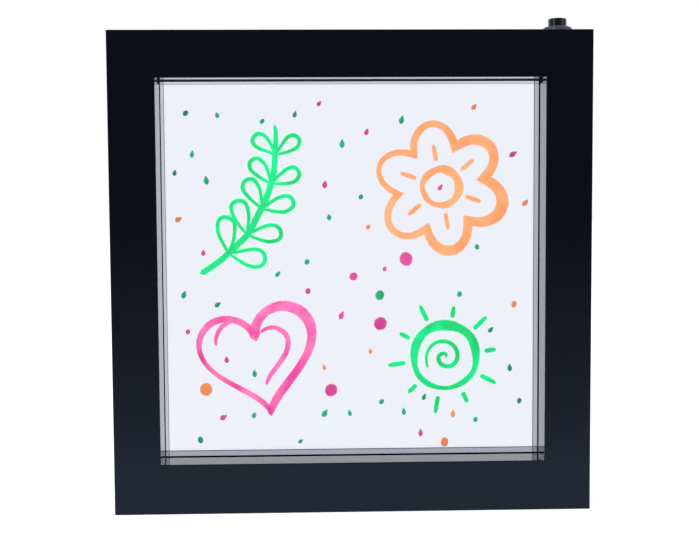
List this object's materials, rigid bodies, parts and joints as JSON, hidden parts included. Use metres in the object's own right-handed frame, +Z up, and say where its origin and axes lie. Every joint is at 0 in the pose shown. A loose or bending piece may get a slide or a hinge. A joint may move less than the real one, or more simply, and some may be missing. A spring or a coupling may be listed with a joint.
{
  "type": "neon message board",
  "caption": "Free-standing square message board: a clear edge-lit writing panel in a deep black frame, with a push-button on top and a battery door behind.",
  "frame": {"origin": "on the resting surface, under the middle of the frame", "axes": "+X to the right as seen from the writing side, +Y from the front to the back, +Z up"},
  "size_m": [0.22, 0.0306, 0.228],
  "materials": {
    "housing_black": "smooth glossy black moulding",
    "cover_black": "finely textured black moulding",
    "button_black": "glossy black",
    "clear_panel": "polished clear acrylic",
    "board_white": "white solder mask",
    "led_cream": "cream phosphor under clear resin",
    "resistor_dark": "glazed dark body",
    "cell_wrap": "printed film wrap over a can",
    "spring_steel": "nickel-plated spring steel",
    "screw_steel": "zinc-plated steel",
    "terminal_brass": "tinned brass",
    "wire_red": "smooth red insulation",
    "wire_black": "smooth black insulation"
  },
  "bodies": {
    "root": {"front_housing": "housing_black", "rear_cover": "cover_black", "writing_panel": "clear_panel", "case_screw_1": "screw_steel", "case_screw_2": "screw_steel", "case_screw_3": "screw_steel", "case_screw_4": "screw_steel", "case_screw_5": "screw_steel", "case_screw_6": "screw_steel", "case_screw_7": "screw_steel", "case_screw_8": "screw_steel", "light_board_left": "board_white", "light_board_right": "board_white", "led_left_1": "led_cream", "led_left_2": "led_cream", "led_left_3": "led_cream", "led_left_4": "led_cream", "led_left_5": "led_cream", "led_left_6": "led_cream", "led_right_1": "led_cream", "led_right_2": "led_cream", "led_right_3": "led_cream", "led_right_4": "led_cream", "led_right_5": "led_cream", "led_right_6": "led_cream", "resistor_left": "resistor_dark", "resistor_right": "resistor_dark", "cell_1": "cell_wrap", "cell_2": "cell_wrap", "cell_3": "cell_wrap", "contact_negative": "spring_steel", "contact_positive": "spring_steel", "contact_link_1": "spring_steel", "contact_link_2": "spring_steel", "cell_spring_1": "spring_steel", "cell_spring_2": "spring_steel", "cell_spring_3": "spring_steel", "switch_bushing": "housing_black", "switch_nut": "screw_steel", "switch_base": "cover_black", "switch_terminal_front": "terminal_brass", "switch_terminal_rear": "terminal_brass", "return_spring": "spring_steel", "wire_cells_to_switch": "wire_red", "wire_switch_to_board": "wire_red", "wire_link_positive": "wire_red", "wire_link_negative": "wire_black", "wire_board_to_cells": "wire_black"},
    "button": {"button_cap": "button_black", "button_plunger": "cover_black", "contact_bridge": "terminal_brass"},
    "battery_door": {"battery_door": "cover_black"}
  },
  "joints": [
    {"name": "button_press", "type": "slide", "parent": "root", "child": "button", "axis": [0, 0, -1], "range_m": [0, 0.002], "stiffness_N_per_m": 400, "springref_m": -0.003, "deforming": ["return_spring"]},
    {"name": "door_hinge", "type": "hinge", "parent": "root", "child": "battery_door", "pos_m": [0, 0.01425, 0.0179], "axis": [1, 0, 0], "range_deg": [0, 100]}
  ]
}
